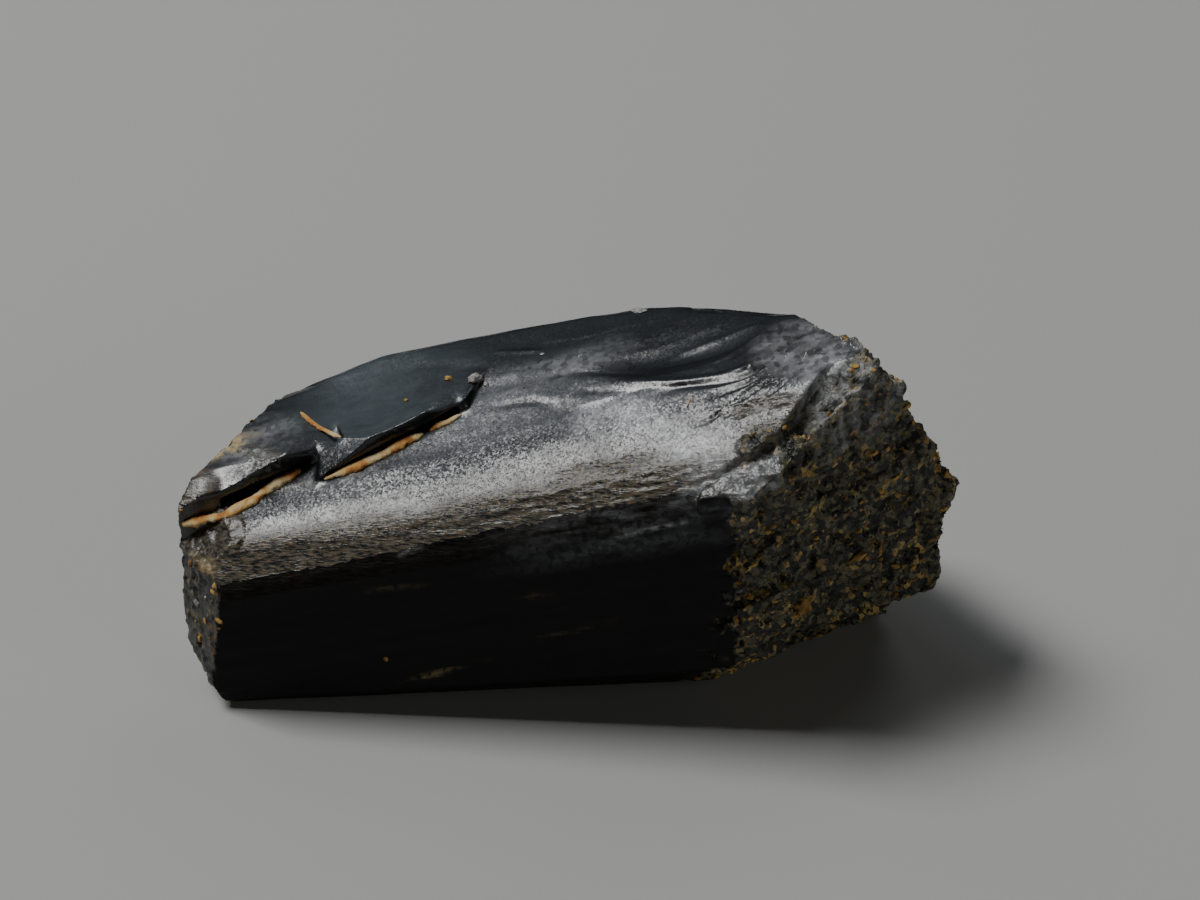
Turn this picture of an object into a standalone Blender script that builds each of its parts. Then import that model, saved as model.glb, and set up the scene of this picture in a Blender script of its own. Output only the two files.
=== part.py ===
"""A loose columbite crystal: one stout, wedge-shaped prism, thin at one end and broken off at the other.

It lies on its flattest side. X runs along the crystal from the thin end to the broken end, Y from the front
prism face to the back, and Z up. The faces are placed in millimetres from the foot of the front prism face at
the thin end, and the finished crystal is moved so that the middle of its box, at the bottom, is the origin.
"""

import math

import bmesh
import bpy
from mathutils import Matrix, Vector

MM = 0.001
BLOCK = 60.0  # the rough block that every shape here is trimmed from

# Driving dimensions, in millimetres.
FRONT_HEIGHT = 4.35  # how high the front prism face reaches at the thin end
BROKEN_END = 16.88  # where the broken end meets the front prism face
PLATE_START = 6.0  # how high the corner of the top growth plate lies at the thin end
CRACK_DEPTH = 1.1  # how far the partings run in under the plate
CRACK_FLOOR = 0.04  # how far a parting's floor lies below the broad face
LEDGE_DROP = 0.40  # how far the ledge beside the broken end lies below the front strip
CUT_LEAD = 0.1  # how far a cut starts in front of the edge that it breaks

# Each face: a point it passes through, the way it faces round Z (0 is the broken end, 90 the back, 180 the
# thin end, 270 the front), and how far it leans up (90 faces straight up, -90 straight down).
SIDE_FACES = {
    "front prism": ((8.0, 0.0, 4.0), 270, 0),
    "front prism, upper facet": ((9.66, 0.0, 6.4), 266.4, 14),
    "upper front bevel": ((1.6, 0.0, FRONT_HEIGHT + 0.1), 257.4, 37.9),
    "lower front bevel": ((0.71, 0.0, 0.25), 277.8, -43.8),
    "broken end": ((BROKEN_END, 0.0, 8.2), 309.5, 1),
    "broken end, below": ((BROKEN_END + 0.2, 0.0, 2.77), 306.4, -44.8),
    "broken end, back": ((20.84, 4.82, 9.65), 43.3, 28.3),
    "broken end, behind the tip": ((23.17, 5.06, 6.21), 40, -7),
    "back prism": ((12.0, 8.3, 8.0), 92, 3),
    "back edge, thin end": ((3.13, 6.7, 7.72), 122, 40),
    "back edge, middle": ((13.47, 8.1, 9.99), 104, 40),
    "back edge, broken end": ((17.95, 6.7, 11.02), 82, 42),
    "lower back bevel": ((10.0, 6.9, 0.0), 90, -52),
    "thin end, front": ((0.66, 0.0, 0.25), 217, 5),
    "thin end, back": ((-0.37, 2.16, 5.78), 148, -7),
    "thin end, below": ((0.35, 1.0, 1.0), 190, -38),
    "resting face": ((8.0, 3.0, 0.0), 0, -90),
}
FRONT_STRIP = ((9.72, 1.55, 8.16), 240.2, 60.8)
BROAD_TOP = ((10.19, 3.41, 8.87), 217.6, 69.6)
BACK_TOP = ((12.23, 7.25, 9.75), 171.7, 77.5)
PLATE_TOP = ((2.74, 2.98, 7.45), 174.5, 72.7)
PLATE_END = ((-0.4, 2.1, PLATE_START), 233, 55.5)
THIN_END_CHAMFER = ((1.2, 2.1, 5.97), 211.5, 48.5)

# Lines in plan, as two ends each. The plate's front edge is broken in two stretches, one behind the other.
LEFT_EDGE = ((-0.9, 1.85), (3.75, 3.45))
RIGHT_EDGE = ((3.75, 2.62), (8.25, 4.4))
END_EDGE = ((8.25, 4.4), (8.9, 6.4))
STRIP_BACK = ((0.0, 1.75), (16.0, 2.9))
LEDGE_FRONT = ((15.6, 0.35), (17.85, 1.5))
LEDGE_BACK = ((17.75, 1.3), (18.95, 3.2))


def normal_of(azimuth, lean):
    a, t = math.radians(azimuth), math.radians(lean)
    return Vector((math.cos(a) * math.cos(t), math.sin(a) * math.cos(t), math.sin(t)))


def opposite(face):
    """The same face, seen from its other side."""
    point, azimuth, lean = face
    return point, azimuth + 180, -lean


def sunk(face, depth):
    """The face moved into the crystal."""
    point, azimuth, lean = face
    return tuple(Vector(point) - normal_of(azimuth, lean) * depth), azimuth, lean


def height(face, x, y):
    """How high the face lies at a place in plan."""
    point, azimuth, lean = face
    n = normal_of(azimuth, lean)
    return point[2] - (n.x * (x - point[0]) + n.y * (y - point[1])) / n.z


def wall(start, end):
    """An upright face on a line in plan, facing to the right of the way from start to end."""
    run = Vector(end) - Vector(start)
    return (*start, 0.0), math.degrees(math.atan2(run.y, run.x)) - 90, 0


def flipped(line):
    return line[1], line[0]


def roof(a, b, c):
    """The face through three points that faces up."""
    n = (Vector(b) - Vector(a)).cross(Vector(c) - Vector(a)).normalized()
    if n.z < 0:
        n.negate()
    return a, math.degrees(math.atan2(n.y, n.x)), math.degrees(math.asin(n.z))


def trimmed_block(name, faces):
    """A closed mesh object: the rough block with what lies outside each face cut off."""
    shape = bmesh.new()
    bmesh.ops.create_cube(shape, size=BLOCK)
    for point, azimuth, lean in faces:
        cut = bmesh.ops.bisect_plane(
            shape,
            geom=shape.verts[:] + shape.edges[:] + shape.faces[:],
            plane_co=Vector(point),
            plane_no=normal_of(azimuth, lean),
            clear_outer=True,
        )
        rim = [part for part in cut["geom_cut"] if isinstance(part, bmesh.types.BMEdge)]
        bmesh.ops.contextual_create(shape, geom=rim)
    bmesh.ops.recalc_face_normals(shape, faces=shape.faces[:])
    mesh = bpy.data.meshes.new(name)
    shape.to_mesh(mesh)
    shape.free()
    mesh.transform(Matrix.Scale(MM, 4))
    return bpy.data.objects.new(name, mesh)


def edge_frame(start, end):
    """The direction straight back from a stretch of the plate's edge, and that stretch moved a little forward."""
    back = Vector((start[1] - end[1], end[0] - start[0])).normalized()
    return back, [(x - back.x * CUT_LEAD, y - back.y * CUT_LEAD) for x, y in (start, end)]


def crack(name, start, end, start_width, end_width):
    """The wedge of air in a parting: it opens in the wall under the plate's edge and closes behind it."""
    back, front = edge_frame(start, end)
    closed = (Vector(start) + Vector(end)) / 2 + back * CRACK_DEPTH
    top = roof(
        (*start, height(BROAD_TOP, *start) + start_width),
        (*end, height(BROAD_TOP, *end) + end_width),
        (*closed, height(BROAD_TOP, *closed)),
    )
    floor = opposite(sunk(BROAD_TOP, CRACK_FLOOR))
    sides = [wall(start, Vector(start) - back), wall(Vector(end) - back, end)]
    return trimmed_block(name, [floor, top, wall(*front), *sides])


def rim_chip(name, start, end, behind, drop):
    """A chip off the plate's front edge: it widens from start to end, where it is so much below the plate."""
    back, front = edge_frame(start, end)
    chip = roof(
        (*start, height(PLATE_TOP, *start)),
        (*end, height(PLATE_TOP, *end) - drop),
        (*behind, height(PLATE_TOP, *behind)),
    )
    return trimmed_block(name, [opposite(chip), wall(*front), wall(end, Vector(end) + back)])


def scoop(name, x, y, face, radii, azimuth, pitch):
    """A shell-shaped hollow broken out of a face, its long axis at azimuth in plan and rising at pitch."""
    shape = bmesh.new()
    bmesh.ops.create_uvsphere(shape, u_segments=24, v_segments=12, radius=1.0)
    mesh = bpy.data.meshes.new(name)
    shape.to_mesh(mesh)
    shape.free()
    turn = Matrix.Rotation(math.radians(azimuth), 4, "Z") @ Matrix.Rotation(math.radians(-pitch), 4, "Y")
    centre = Matrix.Translation((x, y, height(face, x, y) + radii[2] / 2))
    mesh.transform(Matrix.Scale(MM, 4) @ centre @ turn @ Matrix.Diagonal((*radii, 1.0)))
    return bpy.data.objects.new(name, mesh)


for old in list(bpy.data.objects):
    bpy.data.objects.remove(old)

model = bpy.data.collections.new("crystal")
cutters = bpy.data.collections.new("cutters")
cutters.hide_render = True
for collection in (model, cutters):
    bpy.context.scene.collection.children.link(collection)

crystal = trimmed_block("columbite_crystal", [*SIDE_FACES.values(), PLATE_END, PLATE_TOP, BACK_TOP])
model.objects.link(crystal)
corners = [vertex.co for vertex in crystal.data.vertices]
low = Vector([min(corner[axis] for corner in corners) for axis in range(3)])
high = Vector([max(corner[axis] for corner in corners) for axis in range(3)])
crystal.location = -Vector(((low.x + high.x) / 2, (low.y + high.y) / 2, low.z))

join = LEFT_EDGE[1][0]
cuts = [
    # The growth plate's front part is missing, down to the broad face and the front strip.
    trimmed_block(
        "step_left",
        [opposite(BROAD_TOP), wall(*flipped(LEFT_EDGE)), wall((join + 0.1, 0.0), (join + 0.1, 9.0))],
    ),
    trimmed_block(
        "step_right",
        [opposite(BROAD_TOP), wall(*flipped(RIGHT_EDGE)), wall((join, 9.0), (join, 0.0))],
    ),
    trimmed_block("step_end", [opposite(BROAD_TOP), wall(*flipped(END_EDGE))]),
    trimmed_block("strip", [opposite(FRONT_STRIP), wall(*flipped(STRIP_BACK))]),
    trimmed_block("thin_end_notch", [opposite(THIN_END_CHAMFER), wall((1.7, 2.35), (-0.9, 1.95))]),
    rim_chip("left_chip", (2.8, 3.08), (4.6, 3.75), (3.4, 4.5), 0.55),
    rim_chip("right_chip", (6.9, 3.86), (8.25, 4.4), (7.75, 5.3), 0.35),
    scoop("plate_dish", 5.2, 5.5, PLATE_TOP, (2.7, 2.6, 0.55), 0, 17.3),
    # The partings that run in under the plate's edge.
    crack("left_parting", (0.95, 2.43), (3.6, 3.4), 0.30, 0.22),
    crack("right_parting", (4.1, 2.76), (8.1, 4.34), 0.14, 0.22),
    # The broken end's ledge, and the shell-shaped hollow in the top.
    trimmed_block("ledge_front", [opposite(sunk(FRONT_STRIP, LEDGE_DROP)), wall(*flipped(LEDGE_FRONT))]),
    trimmed_block("ledge_back", [opposite(sunk(FRONT_STRIP, LEDGE_DROP)), wall(*flipped(LEDGE_BACK))]),
    scoop("top_hollow", 14.6, 5.5, BACK_TOP, (2.9, 1.15, 0.5), 8, 12),
]

for cutter in cuts:
    cutters.objects.link(cutter)
    cutter.location = crystal.location
    cutter.display_type = "WIRE"
    cutter.hide_render = True
    cut = crystal.modifiers.new(cutter.name, "BOOLEAN")
    cut.operation = "DIFFERENCE"
    cut.object = cutter

black = bpy.data.materials.new("columbite")
black.use_nodes = True
shader = black.node_tree.nodes["Principled BSDF"]
shader.inputs["Base Color"].default_value = (0.012, 0.012, 0.013, 1.0)
shader.inputs["Roughness"].default_value = 0.35
shader.inputs["Metallic"].default_value = 0.3
crystal.data.materials.append(black)
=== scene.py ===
"""A loose columbite crystal, lying on a pale table: the looks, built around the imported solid."""

import math

import bmesh
import bpy
import numpy as np
from mathutils import Matrix, Vector, noise
from mathutils.bvhtree import BVHTree


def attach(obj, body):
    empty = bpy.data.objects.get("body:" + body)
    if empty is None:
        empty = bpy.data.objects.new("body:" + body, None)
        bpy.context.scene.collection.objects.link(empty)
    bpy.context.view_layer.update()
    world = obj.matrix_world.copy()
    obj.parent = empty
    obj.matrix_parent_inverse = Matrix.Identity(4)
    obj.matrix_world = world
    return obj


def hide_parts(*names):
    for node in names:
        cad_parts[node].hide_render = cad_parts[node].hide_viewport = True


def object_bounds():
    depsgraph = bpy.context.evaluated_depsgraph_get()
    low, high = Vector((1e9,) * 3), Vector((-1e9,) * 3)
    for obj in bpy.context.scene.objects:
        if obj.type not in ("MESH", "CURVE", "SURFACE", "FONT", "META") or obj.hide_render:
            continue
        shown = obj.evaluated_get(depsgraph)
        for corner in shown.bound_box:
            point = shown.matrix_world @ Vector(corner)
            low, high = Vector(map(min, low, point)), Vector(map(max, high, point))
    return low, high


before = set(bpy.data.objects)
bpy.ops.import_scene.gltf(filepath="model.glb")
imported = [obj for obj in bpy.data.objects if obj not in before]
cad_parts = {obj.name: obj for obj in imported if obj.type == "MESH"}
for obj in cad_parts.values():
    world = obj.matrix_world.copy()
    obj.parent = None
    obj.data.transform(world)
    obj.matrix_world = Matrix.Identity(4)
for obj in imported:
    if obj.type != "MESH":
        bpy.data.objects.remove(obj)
cad_low, cad_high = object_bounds()

MM = 0.001
# Places are in millimetres from the foot of the front prism face at the thin end, which the crystal overhangs.
THIN_END_REACH = 0.375
FOOT = Vector((cad_low[0] + THIN_END_REACH * MM, cad_low[1], cad_low[2]))


def place(x, y, z):
    """A place on the crystal, in metres in the frame."""
    return FOOT + Vector((x, y, z)) * MM


# Camera: a macro lens about 110 mm away, looking down at the front prism face and turned a few degrees toward
# the broken end.
SENSOR = 36.0
LENS = 111.5
CAMERA_DISTANCE = 110.0
CAMERA_AZIMUTH = 3.9
CAMERA_ELEVATION = 37.0
CAMERA_TARGET = place(12.5, 1.91, 9.1)

camera_data = bpy.data.cameras.new("camera")
camera_data.sensor_width = SENSOR
camera_data.lens = LENS
camera_data.clip_start = 0.005  # metres, well short of the crystal
camera_data.clip_end = 10.0
camera = bpy.data.objects.new("camera", camera_data)
azimuth, elevation = math.radians(CAMERA_AZIMUTH), math.radians(CAMERA_ELEVATION)
toward_camera = Vector((
    math.sin(azimuth) * math.cos(elevation),
    -math.cos(azimuth) * math.cos(elevation),
    math.sin(elevation),
))
camera.location = CAMERA_TARGET + toward_camera * CAMERA_DISTANCE * MM
camera.rotation_euler = toward_camera.to_track_quat("Z", "Y").to_euler()
bpy.context.scene.collection.objects.link(camera)
bpy.context.scene.camera = camera


# The crystal: iron-black columbite, a single prism broken off at one end, with a plate of it broken off the top.
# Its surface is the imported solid's, remade as an even fine mesh and then worked face by face: growth lines along
# the prism, wrinkled and chipped edges, curved ribs in the breaks, and the hackly, pitted broken end.
VOXEL = 0.05  # spacing of the fine mesh, in millimetres as every size below
CRYSTAL_TRIANGLES = 195000
RUN_SLOPE = 15.5  # degrees that the top's long edges rise toward the broken end

# The faces whose surface is worked: a point on each, the way it faces round Z, and how far it leans up.
FACES = {
    "front": ((8.0, 0.0, 4.0), 270, 0),
    "front_upper": ((9.66, 0.0, 6.4), 266.4, 14),
    "bevel": ((1.6, 0.0, 4.45), 257.4, 37.9),
    "lower_bevel": ((0.71, 0.0, 0.25), 277.8, -43.8),
    "strip": ((9.72, 1.55, 8.16), 240.2, 60.8),
    "broad_top": ((10.19, 3.41, 8.87), 217.6, 69.6),
    "back_top": ((12.23, 7.25, 9.75), 171.7, 77.5),
    "plate_top": ((2.74, 2.98, 7.45), 174.5, 72.7),
    "plate_end": ((-0.4, 2.1, 6.0), 233, 55.5),
    "notch": ((1.2, 2.1, 5.97), 211.5, 48.5),
    "broken": ((16.88, 0.0, 8.2), 309.5, 1),
    "broken_below": ((17.08, 0.0, 2.77), 306.4, -44.8),
    "broken_back": ((20.84, 4.82, 9.65), 43.3, 28.3),
    "behind_tip": ((23.17, 5.06, 6.21), 40, -7),
    "back_prism": ((12.0, 8.3, 8.0), 92, 3),
    "back_edge_thin": ((3.13, 6.7, 7.72), 122, 40),
    "back_edge_middle": ((13.47, 8.1, 9.99), 104, 40),
    "back_edge_broken": ((17.95, 6.7, 11.02), 82, 42),
    "lower_back": ((10.0, 6.9, 0.0), 90, -52),
    "thin_front": ((0.66, 0.0, 0.25), 217, 5),
    "thin_back": ((-0.37, 2.16, 5.78), 148, -7),
    "thin_below": ((0.35, 1.0, 1.0), 190, -38),
}


def normal_of(azimuth, lean):
    """The way a face looks, from its turn round Z and its lean upward in degrees."""
    a, t = math.radians(azimuth), math.radians(lean)
    return np.array([math.cos(a) * math.cos(t), math.sin(a) * math.cos(t), math.sin(t)])


def smooth_step(low, high, x):
    """0 up to low and 1 from high on, with a soft rise between them. It falls where low is the larger."""
    t = np.clip((x - low) / (high - low), 0.0, 1.0)
    return t * t * (3 - 2 * t)


def shown(modified):
    """The mesh that an object's modifiers make of it. The object itself is removed."""
    bpy.context.scene.collection.objects.link(modified)
    graph = bpy.context.evaluated_depsgraph_get()
    mesh = bpy.data.meshes.new_from_object(modified.evaluated_get(graph))
    bpy.data.objects.remove(modified)
    return mesh


def remade(node, voxel):
    """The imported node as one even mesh, in millimetres from the foot."""
    mesh = node.data.copy()
    mesh.transform(Matrix.Scale(1 / MM, 4) @ Matrix.Translation(-FOOT))
    merged = bmesh.new()
    merged.from_mesh(mesh)
    bmesh.ops.remove_doubles(merged, verts=merged.verts, dist=1e-4)
    merged.to_mesh(mesh)
    merged.free()
    rough = bpy.data.objects.new("rough", mesh)
    remesh = rough.modifiers.new("remesh", "REMESH")
    remesh.mode = "VOXEL"
    remesh.voxel_size = voxel
    return shown(rough)


def standing(name, data):
    """An object with a mesh or a light, put in the scene."""
    thing = bpy.data.objects.new(name, data)
    bpy.context.scene.collection.objects.link(thing)
    return thing


surface = remade(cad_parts["columbite_crystal"], VOXEL)
count = len(surface.vertices)
links = np.empty(len(surface.edges) * 2, np.int32)
surface.edges.foreach_get("vertices", links)
link_starts, link_ends = links[::2], links[1::2]
neighbours = np.bincount(links, minlength=count)[:, None]


def read(what):
    """The vertices' places or normals, a row for each."""
    flat_list = np.empty(count * 3, np.float32)
    surface.vertices.foreach_get(what, flat_list)
    return flat_list.reshape(-1, 3).astype(float)


def write(places):
    """Puts the vertices in their new places."""
    surface.vertices.foreach_set("co", places.astype(np.float32).ravel())
    surface.update()


def eased(places, mask, rounds):
    """The places, each drawn toward the middle of its neighbours where the mask is 1."""
    for _ in range(rounds):
        total = np.stack([
            np.bincount(link_starts, a[link_ends], count) + np.bincount(link_ends, a[link_starts], count)
            for a in places.T
        ], axis=1)
        places = places + mask[:, None] * (total / neighbours - places)
    return places


def gap_to(face, places):
    """How far each place lies outside a face."""
    point, azimuth, lean = face
    return (places - np.array(point)) @ normal_of(azimuth, lean)


def distance_to(*spot):
    """How far each point is from a place."""
    return np.linalg.norm(points - np.array(spot), axis=1)


def run_out(along, taper):
    """1 along a line, running out to 0 over a part of it at each end."""
    return smooth_step(0.0, taper, along) * smooth_step(1.0, 1.0 - taper, along)


def curve_through(marks, steps=8):
    """A smooth line through a few marks."""
    marks = np.array(marks, float)
    ends = np.vstack([2 * marks[0] - marks[1], marks, 2 * marks[-1] - marks[-2]])
    line = []
    for a, b, c, d in zip(ends[:-3], ends[1:-2], ends[2:-1], ends[3:]):
        for t in np.arange(steps) / steps:
            line.append(b + 0.5 * t * (c - a + t * (2 * a - 5 * b + 4 * c - d + t * (3 * (b - c) + d - a))))
    line.append(marks[-1])
    return np.array(line)


def beside(marks, reach, axes=(0, 1)):
    """How far each point lies to the left of a curved line, seen in plan, and how far along it (0 to 1)."""
    line = curve_through(marks)
    spots = points[:, axes]
    side, along = np.full(count, reach * 9.0), np.zeros(count)
    low, high = line.min(0) - reach, line.max(0) + reach
    near = np.nonzero(((spots > low) & (spots < high)).all(1))[0]
    gap = np.full(len(near), np.inf)
    for k, (start, end) in enumerate(zip(line[:-1], line[1:])):
        run = end - start
        t = np.clip((spots[near] - start) @ run / (run @ run), 0, 1)
        off = spots[near] - start - t[:, None] * run
        distance = np.hypot(off[:, 0], off[:, 1])
        closer = distance < gap
        gap[closer] = distance[closer]
        sign = np.where(run[0] * off[:, 1] - run[1] * off[:, 0] < 0, -1.0, 1.0)
        side[near[closer]] = (sign * distance)[closer]
        along[near[closer]] = (k + t[closer]) / (len(line) - 1)
    return side, along


points = read("co")
# The dish and the hollow run out softly into the faces around them, without a sharp rim.
SOFT_BREAKS = [((5.2, 5.5, 8.35), 3.6, 25), ((14.6, 5.5, 10.35), 3.8, 45)]  # middle, reach, rounds of easing
for middle, reach, rounds in SOFT_BREAKS:
    near = smooth_step(reach, reach * 0.8, distance_to(*middle))
    points = eased(points, near * smooth_step(4.9, 5.4, points[:, 1] + 0.12 * points[:, 0]), rounds)
# The hollow is shallow on its far side.
deep = np.minimum(gap_to(FACES["back_top"], points), 0.0)
deep *= smooth_step(-0.75, -0.55, deep) * (read("normal")[:, 2] > 0.75)
deep *= smooth_step(3.6, 3.0, distance_to(14.9, 6.0, 10.5)) * smooth_step(4.9, 6.0, points[:, 1])
points -= (0.6 * deep)[:, None] * normal_of(*FACES["back_top"][1:])
# Facets chipped along the plate's broken edge: each facet, the four places in X where it opens, is full, starts to
# close and is closed, and how far back it reaches.
LIP_FACETS = [
    (((1.6, 2.75, 6.86), 238, 58), (0.2, 1.0, 3.2, 3.4), 3.6),
    (((3.75, 2.62, 6.82), 226, 51), (3.6, 3.75, 6.4, 7.0), 5.0),
]
for facet, (opens, full, closing, closed), reach in LIP_FACETS:
    zone = smooth_step(opens, full, points[:, 0]) * smooth_step(closed, closing, points[:, 0])
    zone *= (smooth_step(reach + 0.15, reach, points[:, 1])
             * smooth_step(0.02, 0.08, gap_to(FACES["broad_top"], points)))
    excess = np.maximum(gap_to(facet, points), 0.0) * zone
    points -= excess[:, None] * normal_of(*facet[1:])
# The two facets meet in a rounded corner.
lip_corner = smooth_step(0.9, 0.4, distance_to(3.75, 3.0, 7.1))
points = eased(points, lip_corner, 10)
# The ledge is one low flake, banked up against the strip at its near end and a little proud of the broken end.
LEDGE_LINE = [(15.5, 0.28), (16.7, 0.91), (17.85, 1.5), (18.4, 2.3), (18.95, 3.2)]
PROUD = 0.2  # how far the flake stands out, and the most that any part may stand past the front face
below = gap_to(FACES["strip"], points)
proud = (smooth_step(-1.5, -0.4, below) * smooth_step(19.0, 17.8, points[:, 0])
         * smooth_step(15.9, 16.6, points[:, 0]))
proud *= smooth_step(-0.7, -0.1, gap_to(FACES["broken"], points)) * (points[:, 2] > 7.0)
points += (PROUD * proud)[:, None] * normal_of(*FACES["broken"][1:])
below = gap_to(FACES["strip"], points)
side, along = beside(LEDGE_LINE, 1.4)
flake = -0.04 - 0.32 * np.minimum(along / 0.7, 1) + 0.12 * side
rise = np.maximum(flake - below, 0.0) * smooth_step(-0.72, -0.56, below) * smooth_step(-1.4, -1.2, side)
rise *= (smooth_step(0.03, -0.03, side) * smooth_step(19.3, 18.7, points[:, 0])
         * smooth_step(15.4, 15.7, points[:, 0]))
points += rise[:, None] * normal_of(*FACES["strip"][1:])
# The rim between the ledge and the broken end is worn.
break_rim = smooth_step(15.6, 16.0, points[:, 0]) * smooth_step(8.6, 9.2, points[:, 2])
break_rim *= smooth_step(-0.35, 0.1, (points[:, 0] - 15.9) * 0.66 - (points[:, 1] - 0.75) * 0.75)
points = eased(points, break_rim, 5)
write(points)
normals = read("normal")
slope = math.radians(RUN_SLOPE)
laid = points @ np.array([  # the same points, with X along the top's long edges
    [math.cos(slope), 0.0, -math.sin(slope)],
    [0.0, 1.0, 0.0],
    [math.sin(slope), 0.0, math.cos(slope)],
])


def on_face(name, reach=0.25):
    """1 on a face, falling to 0 a little way off it."""
    facing = normals @ normal_of(*FACES[name][1:])
    return smooth_step(reach, reach * 0.3, np.abs(gap_to(FACES[name], points))) * smooth_step(0.6, 0.9, facing)


def any_face(*names):
    """1 on any of several faces."""
    return np.maximum.reduce([on_face(name) for name in names])


def grain(mask, size, octaves=3, stretch=(1, 1, 1), seed=0.0):
    """Cloudy noise with grains of about a size, mostly within -1 to 1, where the mask isn't 0."""
    out = np.zeros(count)
    shift = Vector((seed, seed * 1.7, -seed))
    scaled = laid / size / np.array(stretch)
    for i in np.nonzero(mask > 0.001)[0]:
        out[i] = noise.fractal(Vector(scaled[i]) + shift, 0.9, 2.1, octaves)
    return out * 1.6


def chips(mask, size, steepness, stretch=(1, 1, 1), seed=0.0):
    """Flat chips of about a size, each tilted its own way, with steps between them."""
    out = np.zeros(count)
    shift = Vector((seed, seed * 1.7, -seed))
    scaled = laid / size / np.array(stretch)
    for i in np.nonzero(mask > 0.001)[0]:
        p = Vector(scaled[i]) + shift
        centre = noise.voronoi(p)[1][0]
        lean = noise.cell_vector(centre * 9.0) * 2 - Vector((1, 1, 1))
        out[i] = (p - centre).dot(lean) * steepness + lean.x * 0.4
    return out * size


up = smooth_step(0.45, 0.65, normals[:, 2]) * smooth_step(4.5, 5.0, points[:, 2])  # 1 where the top faces up


def rib(marks, height, width, taper=0.25):
    """A rounded rib on the top along a curved line, or a groove if its height is negative."""
    side, along = beside(marks, 4 * width)
    return up * height * run_out(along, taper) * np.exp(-((side / width) ** 2))


def terrace(marks, height, fade):
    """A low step on the top: the left side of a curved line stands up at the line and runs out behind it."""
    side, along = beside(marks, 3 * fade)
    return (up * height * run_out(along, 0.2) * smooth_step(-0.1, 0.1, side)
            * np.exp(-np.maximum(side, 0) / fade))


def fan(marks, reach, pitch, lean, seed):
    """Shallow overlapping treads on the right of a curved line, parallel to it, that lean down away from it."""
    side, along = beside(marks, reach)
    inside = (up * smooth_step(0.0, 0.1, -side) * smooth_step(reach, reach * 0.7, -side)
              * smooth_step(0.0, 0.3, along))
    bent = -side / pitch + 0.35 * grain(inside, 0.9, 2, (2, 1, 1), seed)
    tread = bent - np.floor(bent)  # leans down over the first 0.85 of each tread, and climbs back over the rest
    return -inside * lean * pitch * np.where(tread < 0.85, tread, 0.85 * (1 - tread) / 0.15)


def pit(x, y, z, radius, depth):
    """A round hole with a soft rim."""
    return -depth * smooth_step(1.0, 0.35, distance_to(x, y, z) / radius)


def worn_edge(first, second, width):
    """The rounding of the edge between two faces."""
    a, b = gap_to(FACES[first], points), gap_to(FACES[second], points)
    near = smooth_step(-0.2, -0.1, np.maximum(a, b))
    return -width / 4 * np.clip(1 - np.abs(a - b) / width, 0, 1) ** 2 * near


# Where the main faces are, each 1 on its face.
broken = any_face("broken", "broken_below", "broken_back", "behind_tip")
thin_end = any_face("thin_front", "thin_below", "thin_back")
bevel = on_face("bevel")
strip = on_face("strip")
top = np.maximum.reduce([up * (1 - broken), on_face("plate_end"), on_face("notch")])
# Right of this line in plan, the top is part of the break.
BREAK_LINE = [(15.6, 0.45), (16.9, 1.35), (17.9, 1.5), (18.4, 2.0), (18.85, 2.5), (19.4, 3.3), (20.4, 4.3)]
side, _ = beside(BREAK_LINE, 3.5)
past_break = smooth_step(0.12, -0.12, side) * (points[:, 0] > 15.6) * smooth_step(8.9, 9.2, points[:, 2])
ledge = past_break * smooth_step(18.0, 17.7, points[:, 0])
corner = past_break * smooth_step(17.7, 18.1, points[:, 0])
# The break also bites unevenly round its edge with the front, and takes in the low wall behind the ledge.
uneven_gap = gap_to(FACES["broken"], points) + 0.3 * grain(points[:, 0] > 15.5, 0.5, 3, seed=17.0)
bitten = smooth_step(-0.30, -0.12, uneven_gap)
bitten *= any_face("front", "front_upper")
wall = (smooth_step(0.38, 0.18, np.abs(side + 0.14)) * smooth_step(16.4, 16.9, points[:, 0])
        * (points[:, 2] > 8.6))
broken = np.maximum.reduce([broken, corner, bitten, 0.9 * wall * smooth_step(19.6, 19.2, points[:, 0])])

lift = np.zeros(count)  # how far each point moves out along its normal
lengthways = points[:, 0]  # stays in step with the points as they move
# Worn edges, the widest where the strip and the broad top run together near the broken end.
run_together = smooth_step(11.0, 13.5, lengthways) * smooth_step(17.0, 15.5, lengthways)
uneven = 1 + 0.5 * np.sin(lengthways * 2.3) * np.sin(lengthways * 0.9 + 1)
lift += worn_edge("strip", "broad_top", 0.07 + 0.25 * run_together)
lift += worn_edge("bevel", "strip", 0.10 * uneven)
lift += worn_edge("front", "bevel", 0.10 * uneven) + worn_edge("front_upper", "bevel", 0.08 * uneven)
lift += worn_edge("broad_top", "back_top", 0.12)
lift += worn_edge("thin_front", "front", 0.12) + worn_edge("thin_front", "bevel", 0.2)
# The top: slow swells, and growth lines that run along it.
lift += top * (0.035 * grain(top, 2.6, 2, (2, 1, 1), seed=21.0)
               + 0.006 * grain(top, 0.5, 3, (8, 1, 1), seed=22.0))
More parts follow.
